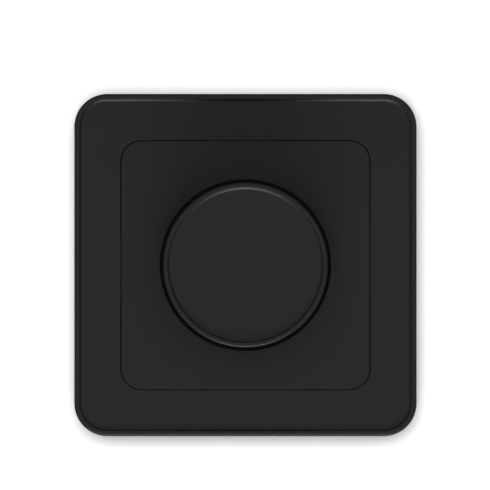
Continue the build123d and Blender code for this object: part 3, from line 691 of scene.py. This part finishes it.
spring_steel = metal(
    "Spring steel", (0.34, 0.34, 0.35), (0.46, 0.46, 0.47), (0.2, 0.34), (2500, 2500, 2500)
)
spring_low, spring_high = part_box("plunger_spring")
spring_wire = 0.2 * MM
spring_turns = 4.5
spring = coil_piece(
    "plunger_spring_coil", spring_turns, spring_high.x - spring_wire, spring_high.y, spring_low.y,
    spring_wire, spring_steel,
)
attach(spring, "base")
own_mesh(spring)
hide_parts("plunger_spring")

# Potentiometer
# A black moulded cup with a laminate wafer that carries a carbon ring. A rotor on the shaft drags a
# springy brass wiper over the ring, and three pins go down to the board.

def carbon_wafer():
    """Brown laminate with a matte black ring of carbon round the shaft."""
    material, tree, surface = new_material("Carbon wafer")
    place = tree.nodes.new("ShaderNodeTexCoord")
    flat = tree.nodes.new("ShaderNodeVectorMath")
    flat.operation = "MULTIPLY"
    flat.inputs[1].default_value = (1, 0, 1)
    away = tree.nodes.new("ShaderNodeVectorMath")
    away.operation = "LENGTH"
    ring = tree.nodes.new("ShaderNodeMapRange")
    ring.interpolation_type = "SMOOTHSTEP"
    ring.inputs["From Min"].default_value = 4.0 * MM
    ring.inputs["From Max"].default_value = 4.15 * MM
    layers = tree.nodes.new("ShaderNodeTexNoise")
    layers.inputs["Scale"].default_value = 900
    layers.inputs["Detail"].default_value = 4
    tree.links.new(place.outputs["Object"], flat.inputs[0])
    tree.links.new(flat.outputs[0], away.inputs[0])
    tree.links.new(away.outputs["Value"], ring.inputs["Value"])
    tree.links.new(place.outputs["Object"], layers.inputs["Vector"])
    carbon = ring.outputs["Result"]
    layer = layers.outputs["Fac"]
    set_surface(
        tree, surface, shade_between(tree, carbon, (0.22, 0.1, 0.035), (0.012, 0.012, 0.012)),
        value_between(tree, layer, 0.4, 0.65), raised(tree, layer, strength=0.15, depth=0.02),
    )
    return material


dressed("pot_case", "base", control_black, edge=0.1)
dressed("resistive_track", "base", carbon_wafer())
dressed("pot_pins", "base", tinned_brass, edge=0.05)
dressed("wiper_rotor", "wiper", natural, edge=0.1)
dressed("wiper_contact", "wiper", tinned_brass)

# Control bushing and shaft
# A turned and plated bushing with a square flange, clamped through the support plate, and a shaft
# with a flat for the knob. A spring ring keeps the shaft in.

bushing_metal = metal("Turned plating", (0.42, 0.42, 0.42), (0.56, 0.56, 0.56), (0.22, 0.4), TURNED)
dressed("control_bushing", "base", bushing_metal, edge=0.12)
dressed("control_shaft", "knob", bushing_metal, edge=0.1)
dressed("shaft_retaining_ring", "knob", spring_steel, edge=0.08)

bushing_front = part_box("control_bushing")[0].y
thread_wire = 0.12 * MM
thread_turns = 9
thread_radius = 4.93 * MM
thread_inset = 0.2 * MM
bushing_thread = coil_piece(
    "bushing_thread", thread_turns, thread_radius, -thread_inset, bushing_front + thread_inset,
    thread_wire, bushing_metal,
)
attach(bushing_thread, "base")

# Power transistors
# Two black packages with metal tabs, screwed through a thin grey silicone sheet to the support
# plate, which carries their heat away. Their leads go down to the board.

tab_height = 3.8
tab_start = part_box("power_transistors")[1].z / MM - tab_height
body_start = 9.4
tab_blend = 0.04


def tab_and_leads(tree):
    """Bare metal on the tabs above the packages and on the leads below them."""
    tabs = share_along(tree, "Z", tab_start - tab_blend / 2, tab_start + tab_blend / 2)
    leads = share_along(tree, "Z", body_start, body_start - tab_blend)
    return maths(tree, "MAXIMUM", tabs, leads)


transistor_black = part_metal(
    "Transistor", (0.014, 0.014, 0.015), (0.62, 0.62, 0.63), tab_and_leads, (0.5, 0.3)
)
pad_grey = moulded_plastic(
    "Silicone pad", (0.31, 0.32, 0.36), (0.38, 0.39, 0.43), (0.6, 0.7), grains=4000, strength=0.3
)
dressed("insulating_pad", "base", pad_grey)
dressed("power_transistors", "base", transistor_black, edge=0.08)

tab_low, tab_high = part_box("transistor_screws")
tab_front = -tab_low.y / MM
tab_length = (tab_high.y - tab_low.y) / MM
tab_middle = (tab_low.z + tab_high.z) / 2 / MM
tab_places = (-6.2, 6.2)
tab_radius = 1.4
tab_sink = 1.0
head_radius = 2.4
head_top = [(head_radius, 0), (head_radius, -0.1)]
tab_section = head_top + [(tab_radius, -tab_sink)]
tab_section += threaded(tab_radius, start=-tab_sink, end=-tab_length, pitch=0.5, depth=0.2)
tab_shape = turned("screw", tab_section, steps=8)
slotted(tab_shape, width=0.55, reach=1.5, top=0, depth=0.7, count=2)
tab_screws = copies(
    "transistor_screws_cross", tab_shape, [(x, tab_front, tab_middle) for x in tab_places], screw_zinc,
    spread=90, seed=2,
)
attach(tab_screws, "base")
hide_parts("transistor_screws")

# Support plate
# A zinc-plated steel plate with cut corners, folded lips and four slots for the screws of the wall
# box. Four countersunk screws hold the housing to its back.

dressed("support_plate", "base", zinc, edge=0.1)
screws_low, screws_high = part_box("housing_screws")
screw_front = -screws_low.y / MM
screw_length = (screws_high.y - screws_low.y) / MM
screw_at = screws_high.z / MM - head_radius
screw_radius = 1.3
screw_sink = 1.05
screw_section = head_top + [(screw_radius, -screw_sink)]
screw_section += threaded(screw_radius, start=-screw_sink, end=-screw_length, pitch=0.6, depth=0.25)
screw_shape = turned("screw", screw_section, steps=8)
slotted(screw_shape, width=0.6, reach=1.6, top=0, depth=0.7, count=2)
housing_screws = copies(
    "housing_screws_cross", screw_shape,
    [(x * screw_at, screw_front, z * screw_at) for x in (-1, 1) for z in (-1, 1)], screw_zinc,
    spread=90, seed=7,
)
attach(housing_screws, "base")
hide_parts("housing_screws")

# Cover frame
# A square of black moulded plastic with a thin rim that stands a little over its more matt face. A
# ledge and lugs inside its opening carry the centre plate, and its back edge lies on the wall.

cover_black = moulded_plastic(
    "Cover black", (0.0102, 0.0102, 0.0102), (0.0116, 0.0116, 0.0116), (0.37, 0.41), strength=0.12,
    shine=0.175,
)


def matt_face(material, level, rough, within=0.03, beyond=0.11):
    """Makes the flat face at a level out of the wall, in millimetres, rougher than the rim round it."""
    tree = material.node_tree
    surface = tree.nodes["Principled BSDF"]
    over = maths(tree, "ADD", place_along(tree, "Y"), level * MM)
    spread = tree.nodes.new("ShaderNodeMapRange")
    spread.inputs["From Min"].default_value = within * MM
    spread.inputs["From Max"].default_value = beyond * MM
    spread.inputs["To Min"].default_value = rough
    tree.links.new(maths(tree, "ABSOLUTE", over), spread.inputs["Value"])
    tree.links.new(surface.inputs["Roughness"].links[0].from_socket, spread.inputs["To Max"])
    tree.links.new(spread.outputs["Result"], surface.inputs["Roughness"])


def bend(middle, radius, start, end, steps=6):
    """Points of a rounded edge in section: sideways and out of the wall, from angle to angle."""
    turns = [math.radians(start + (end - start) * n / steps) for n in range(steps + 1)]
    return [(middle[0] + radius * math.cos(t), middle[1] + radius * math.sin(t)) for t in turns]


def rim_section(outer, crest, round_out, land, run, fall, round_in, round_foot):
    """Half sides and levels over a raised rim: outer edge, crest, inner slope, then the sunk face."""
    slant = math.atan2(fall, run)
    section = bend((outer - round_out, crest - round_out), round_out, 0, 90)
    top = outer - land + round_in * math.tan(slant / 2)
    section += bend((top, crest - round_in), round_in, 90, 90 + math.degrees(slant))
    foot = outer - land - run - round_foot * math.tan(slant / 2)
    section += bend((foot, crest - fall + round_foot), round_foot, math.degrees(slant) - 90, -90)
    return section


def bar(name, low, high, edge=0.1):
    """A rib with broken edges between two corners across, out of the wall and up, in millimetres."""
    shape = bmesh.new()
    bmesh.ops.create_cube(shape, size=1)
    for point in shape.verts:
        x, out, up = [low[n] if point.co[n] < 0 else high[n] for n in range(3)]
        point.co = (x * MM, -out * MM, up * MM)
    bmesh.ops.recalc_face_normals(shape, faces=shape.faces)
    bmesh.ops.bevel(
        shape, geom=shape.edges[:], offset=edge * MM, segments=2, affect="EDGES", profile=0.5
    )
    return new_piece(name, shape)


def joined(name, pieces):
    """One piece from several shapes."""
    shape = bmesh.new()
    for piece in pieces:
        shape.from_mesh(piece.data)
        bpy.data.objects.remove(piece)
    return new_piece(name, shape)


frame_low, frame_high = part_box("cover_frame")
frame_half = frame_high.x / MM
frame_corner = 8.2
frame_crest = -frame_low.y / MM
frame_wall = 2.0
rim_fall = 0.6
rim_land = 1.25
rim_run = 0.5
rim_round = 0.75
rim_round_in = 0.1
rim_round_foot = 0.8
frame_face = frame_crest - rim_fall
face_rough = 0.54
matt_face(cover_black, frame_face, face_rough)
plate_edge = 2.0
frame_seat = frame_face - plate_edge
opening_half = 31.04
opening_corner = 5.3
opening_round = 0.1
ledge_width = 1.8
ledge_thick = 1.8
ledge_back = frame_seat - ledge_thick
ledge_wall = 1.6

frame_loops = [(frame_half, frame_corner, 0)]
for half, level in rim_section(
    frame_half, frame_crest, rim_round, rim_land, rim_run, rim_fall, rim_round_in, rim_round_foot
):
    frame_loops.append((half, frame_corner - frame_half + half, level))
opening_bend = (opening_half + opening_round, frame_face - opening_round)
for half, level in bend(opening_bend, opening_round, 90, 180):
    frame_loops.append((half, opening_corner - opening_half + half, level))
ledge_half = opening_half - ledge_width
ledge_corner = opening_corner - ledge_width
outside_half = opening_half + ledge_wall
outside_corner = opening_corner + ledge_wall
inside_half = frame_half - frame_wall
inside_corner = frame_corner - frame_wall
frame_loops += [
    (opening_half, opening_corner, frame_seat),
    (ledge_half, ledge_corner, frame_seat),
    (ledge_half, ledge_corner, ledge_back),
    (outside_half, outside_corner, ledge_back),
    (outside_half, outside_corner, frame_seat),
    (inside_half, inside_corner, frame_seat),
    (inside_half, inside_corner, 0),
]
cover_frame = moulding("cover_frame_moulding", frame_loops)
soften(cover_frame)
cover_frame.data.materials.append(cover_black)
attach(cover_frame, "base")
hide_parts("cover_frame")

rib_half = 0.6
rib_spread = 15.0
rib_height = 3.0
rib_overlap = 0.2
axle = (0, 0, 0)
two_ribs = joined("ribs", [
    bar(
        "rib",
        (outside_half - rib_overlap, frame_seat - rib_height, side * rib_spread - rib_half),
        (inside_half + rib_overlap, frame_seat + rib_overlap, side * rib_spread + rib_half),
    )
    for side in (-1, 1)
])
frame_ribs = copies("cover_frame_ribs", two_ribs, [axle] * 4, cover_black, step=90)
lug_half = 8.575
lug_offset = 0.74
lug_reach = 0.18
lug_drop = 0.4
lug_root = 0.3
lug_sink = 0.1
one_lug = bar(
    "lug", (opening_half - lug_reach, frame_seat - lug_sink, lug_offset - lug_half),
    (opening_half + lug_root, frame_face - lug_drop, lug_offset + lug_half), edge=0.05,
)
frame_lugs = copies("cover_frame_lugs", one_lug, [axle] * 4, cover_black, step=90)
for extra in (frame_ribs, frame_lugs):
    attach(extra, "base")

# Centre plate
# A square plate of the same plastic. Its edge lies on the frame's ledge, and a round well in it
# takes the knob; the floor of the well is clamped by a nut on the control's bushing.

plate_gap = 0.24
plate_half = opening_half - plate_gap
plate_corner = opening_corner - plate_gap
plate_round = 0.12
well_radius = 21.2
well_round = 0.15
well_wall = 1.6
well_outside = well_radius + well_wall
well_floor = 3.8
well_back = 2.2
boss_end = 1.2
boss_radius = 8.0
boss_hole = 5.2
lip_gap = 0.3
lip_half = ledge_half - lip_gap
lip_corner = ledge_corner - lip_gap
lip_wall = 1.4
lip_height = 2.4
lip_end = frame_seat - lip_height

plate_loops = [(plate_half, plate_corner, frame_seat)]
for half, level in bend((plate_half - plate_round, frame_face - plate_round), plate_round, 0, 90):
    plate_loops.append((half, plate_corner - plate_half + half, level))
for radius, level in bend((well_radius + well_round, frame_face - well_round), well_round, 90, 180):
    plate_loops.append((radius, radius, level))
for radius, level in (
    (well_radius, well_floor), (boss_hole, well_floor), (boss_hole, boss_end), (boss_radius, boss_end),
    (boss_radius, well_back), (well_outside, well_back), (well_outside, frame_seat),
):
    plate_loops.append((radius, radius, level))
plate_loops += [
    (lip_half - lip_wall, lip_corner - lip_wall, frame_seat),
    (lip_half - lip_wall, lip_corner - lip_wall, lip_end),
    (lip_half, lip_corner, lip_end),
    (lip_half, lip_corner, frame_seat),
]
centre_plate = moulding("centre_plate_moulding", plate_loops, steps=48)
soften(centre_plate)
centre_plate.data.materials.append(cover_black)
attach(centre_plate, "base")
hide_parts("centre_plate")

foot_radius = 2.2
foot_at = 26.04
foot_edge = 0.2
foot_root = 0.1
foot = turned("foot", (
    (foot_radius - foot_edge, boss_end), (foot_radius, boss_end + foot_edge),
    (foot_radius, frame_seat + foot_root),
))
foot.data.transform(Matrix.Translation((foot_at * MM, 0, foot_at * MM)))
round_overlap = 0.3
spoke = bar(
    "spoke", (well_outside - round_overlap, frame_seat - rib_height, -rib_half),
    (foot_at * math.sqrt(2), frame_seat + rib_overlap, rib_half),
)
spoke.data.transform(Matrix.Rotation(math.radians(-45), 4, "Y"))
one_foot = joined("foot", [foot, spoke])
plate_feet = copies("centre_plate_feet", one_foot, [axle] * 4, cover_black, step=90)
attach(plate_feet, "base")

# Nut and washer
# A plain washer and a zinc-plated hexagon nut on the bushing's thread, which hold the centre plate
# and the control to the support plate. The knob hides them.

dressed("bushing_washer", "base", screw_zinc, edge=0.08)
dressed("bushing_nut", "base", screw_zinc, edge=0.2)

# Knob
# A hollow moulding in the same plastic with a rim round its sunk face. Its ribbed hub is pressed on
# the shaft, where a leaf of spring steel takes up the play.

knob_low, knob_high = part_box("knob")
knob_foot = -knob_high.y / MM
knob_crest = -knob_low.y / MM
knob_radius = knob_high.x / MM
knob_taper = 0.6
knob_top = knob_radius - (knob_crest - knob_foot) * math.tan(math.radians(knob_taper))
knob_wall = 1.8
knob_fall = 0.6
knob_face = knob_crest - knob_fall
matt_face(cover_black, knob_face, face_rough)
knob_thick = 2.2
knob_inside = knob_face - knob_thick
knob_land = 1.0
knob_round = 0.5
knob_skirt_round = 0.3
axis_radius = 0.2
hub_radius = 5.5
hub_foot = 9.1
bore_radius = 3.05
bore_end = knob_inside - 1.4

knob_section = [
    (axis_radius, bore_end), (bore_radius, bore_end), (bore_radius, hub_foot), (hub_radius, hub_foot),
    (hub_radius, knob_inside), (knob_top - knob_wall, knob_inside),
    (knob_radius - knob_wall, knob_foot),
]
skirt_bend = (knob_radius - knob_skirt_round, knob_foot + knob_skirt_round)
knob_section += bend(skirt_bend, knob_skirt_round, -90, 0)
knob_section += rim_section(
    knob_top, knob_crest, knob_round, knob_land, rim_run, knob_fall, rim_round_in, rim_round_foot
)
knob_section.append((axis_radius, knob_face))
knob = turned("knob_moulding", knob_section, steps=48)
soften(knob)
knob.data.materials.append(cover_black)
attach(knob, "knob")
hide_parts("knob")

knob_rib_height = 4.0
knob_rib = bar(
    "rib", (hub_radius - round_overlap, knob_inside - knob_rib_height, -rib_half),
    (knob_top - knob_wall + round_overlap, knob_inside + rib_overlap, rib_half),
)
knob_ribs = copies("knob_ribs", knob_rib, [axle] * 6, cover_black, step=60)
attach(knob_ribs, "knob")
dressed("knob_clip", "knob", spring_steel, edge=0.05)

# Stage
# A white wall that the frame lies on, with a painted shadow round the part, a pale floor below it, soft
# lamps in front and behind, dark cards that keep the slopes dark, and a long lens straight in front.
# From behind, the wall is clear.

def stage_plane(name, corners, faces=((0, 1, 2, 3),)):
    """A flat thing of the stage from its corners, in metres, and its faces."""
    mesh = bpy.data.meshes.new(name)
    mesh.from_pydata(corners, [], faces)
    plane = in_scene(name, mesh)
    return plane


def seen_rays(tree, in_gloss):
    """One for rays that show the backdrop as it is: to the camera, by reflection or through glass."""
    path = tree.nodes.new("ShaderNodeLightPath")
    gloss = maths(tree, "MULTIPLY", path.outputs["Is Glossy Ray"], in_gloss)
    seen = maths(tree, "MAXIMUM", path.outputs["Is Camera Ray"], gloss)
    return maths(tree, "MAXIMUM", seen, path.outputs["Is Transmission Ray"])


def stage_white(name, glow, shadow_lean, shade=0.8, shadow_reach=0.0042, shadow_cutoff=0.28, in_gloss=0.35):
    """Matte white, clear from behind, with a glow that is darkened close to the part as a painted
    shadow.
    """
    material = bpy.data.materials.new(name)
    material.use_nodes = True
    tree = material.node_tree
    tree.nodes.remove(tree.nodes["Principled BSDF"])
    add = tree.nodes.new
    link = tree.links.new
    matte = add("ShaderNodeBsdfDiffuse")
    matte.inputs["Color"].default_value = (shade, shade, shade, 1)
    light = add("ShaderNodeEmission")
    # Occlusion close to the part darkens the glow there: a painted shadow, not a shadow from the lamps.
    near = add("ShaderNodeAmbientOcclusion")
    near.inputs["Distance"].default_value = shadow_reach
    near.samples = 16
    painted_shadow = add("ShaderNodeMapRange")
    painted_shadow.inputs["From Min"].default_value = shadow_cutoff
    # The lean tilts the occlusion, so the painted shadow falls darker on one side of the part.
    lean = add("ShaderNodeNormal")
    lean.outputs[0].default_value = Vector(shadow_lean).normalized()
    both = add("ShaderNodeAddShader")
    side = add("ShaderNodeNewGeometry")
    clear = add("ShaderNodeBsdfTransparent")
    pick = add("ShaderNodeMixShader")
    link(lean.outputs["Normal"], near.inputs["Normal"])
    link(near.outputs["AO"], painted_shadow.inputs["Value"])
    link(painted_shadow.outputs["Result"], light.inputs["Color"])
    link(maths(tree, "MULTIPLY", seen_rays(tree, in_gloss), glow), light.inputs["Strength"])
    link(matte.outputs[0], both.inputs[0])
    link(light.outputs[0], both.inputs[1])
    link(side.outputs["Backfacing"], pick.inputs["Fac"])
    link(both.outputs[0], pick.inputs[1])
    link(clear.outputs[0], pick.inputs[2])
    link(pick.outputs[0], tree.nodes["Material Output"].inputs["Surface"])
    return material


wall_reach = 4.0
wall_back = 0.0002
wall_hole = 0.04
floor_level = -0.6
wall_edges = ((wall_reach, floor_level, wall_reach), (wall_hole, -wall_hole, wall_hole))
wall = stage_plane(
    "wall",
    [
        (x, wall_back, z)
        for side, low, high in wall_edges
        for x, z in ((-side, low), (side, low), (side, high), (-side, high))
    ],
    [(n, (n + 1) % 4, (n + 1) % 4 + 4, n + 4) for n in range(4)],
)
wall.data.materials.append(stage_white("Wall white", glow=0.73, shadow_lean=(-0.2, -1, 0.42)))
floor_edge = 0.05
floor = stage_plane("floor", [
    (-wall_reach, -wall_reach, floor_level), (wall_reach, -wall_reach, floor_level),
    (wall_reach, -floor_edge, floor_level), (-wall_reach, -floor_edge, floor_level),
])
floor.data.materials.append(stage_white("Floor pale", glow=1.0, shadow_lean=(0, 0, 1)))

card_black = bpy.data.materials.new("Card black")
card_black.use_nodes = True
card_face = card_black.node_tree.nodes["Principled BSDF"]
card_face.inputs["Base Color"].default_value = (0.01, 0.01, 0.01, 1)
card_face.inputs["Specular IOR Level"].default_value = 0


def dark_card(name, corners):
    """A dark card that the camera doesn't see."""
    card = stage_plane(name, corners)
    card.data.materials.append(card_black)
    card.visible_camera = False


card_out = 0.5
card_low = 0.05
card_high = 0.25
card_long = 0.55
for name, across, up in (("card_left", -1, 0), ("card_right", 1, 0), ("card_top", 0, 1)):
    x = across * card_out
    z = up * card_out
    long_x = abs(up) * card_long
    long_z = abs(across) * card_long
    dark_card(name, [
        (x - long_x, -card_low, z - long_z), (x + long_x, -card_low, z + long_z),
        (x + long_x, -card_high, z + long_z), (x - long_x, -card_high, z - long_z),
    ])
strip_half = 0.1
strip_drop = -0.1
strip_low = 0.006
strip_high = 0.027
dark_card("card_strip", [
    (-strip_half, -strip_low, strip_drop), (strip_half, -strip_low, strip_drop),
    (strip_half, -strip_high, strip_drop), (-strip_half, -strip_high, strip_drop),
])


def soft_lamp(name, place, size, watts, mirrored=True):
    """An area lamp that looks at the part; one that isn't mirrored lights without a shape in gloss."""
    lamp = bpy.data.lights.new(name, "AREA")
    lamp.shape = "ELLIPSE"
    lamp.size, lamp.size_y = size
    lamp.energy = watts
    holder = in_scene(name, lamp)
    holder.location = place
    holder.rotation_euler = (-Vector(place)).to_track_quat("-Z", "Y").to_euler()
    holder.visible_camera = False
    holder.visible_glossy = mirrored


soft_lamp("Front lamp", (0, -1.15, 0.15), size=(2.4, 2.4), watts=13.5, mirrored=False)
soft_lamp("Low lamp", (0, -0.175, -0.522), size=(0.58, 0.22), watts=4.35)
soft_lamp("Back lamp", (0.9, 1.5, 0.9), size=(1.2, 1.2), watts=26, mirrored=False)
soft_lamp("Back side lamp", (-1.4, 1.0, 0.3), size=(0.9, 0.9), watts=12, mirrored=False)

world = bpy.data.worlds.new("Studio")
world.use_nodes = True
sky_tree = world.node_tree
sky = sky_tree.nodes["Background"]
sky.inputs["Color"].default_value = (1, 1, 1, 1)
sky_light = 0.05
sky_level = value_between(sky_tree, seen_rays(sky_tree, in_gloss=1), sky_light, 1)
sky_tree.links.new(sky_level, sky.inputs["Strength"])
bpy.context.scene.world = world

photo_side = 490
frame_pixels = 342.4
middle_column = 245.45
middle_row = 265.05
camera_reach = 4.0
lens = bpy.data.cameras.new("Long lens")
lens.sensor_width = 36
view_width = 2 * frame_half * MM * photo_side / frame_pixels
lens.lens = lens.sensor_width * (camera_reach - frame_crest * MM) / view_width
camera = in_scene("Long lens", lens)
pixel = view_width / photo_side
camera.location = (
    (photo_side / 2 - middle_column) * pixel, -camera_reach, (middle_row - photo_side / 2) * pixel,
)
camera.rotation_euler = (math.radians(90), 0, 0)
bpy.context.scene.camera = camera
bpy.context.scene.view_settings.view_transform = "Standard"
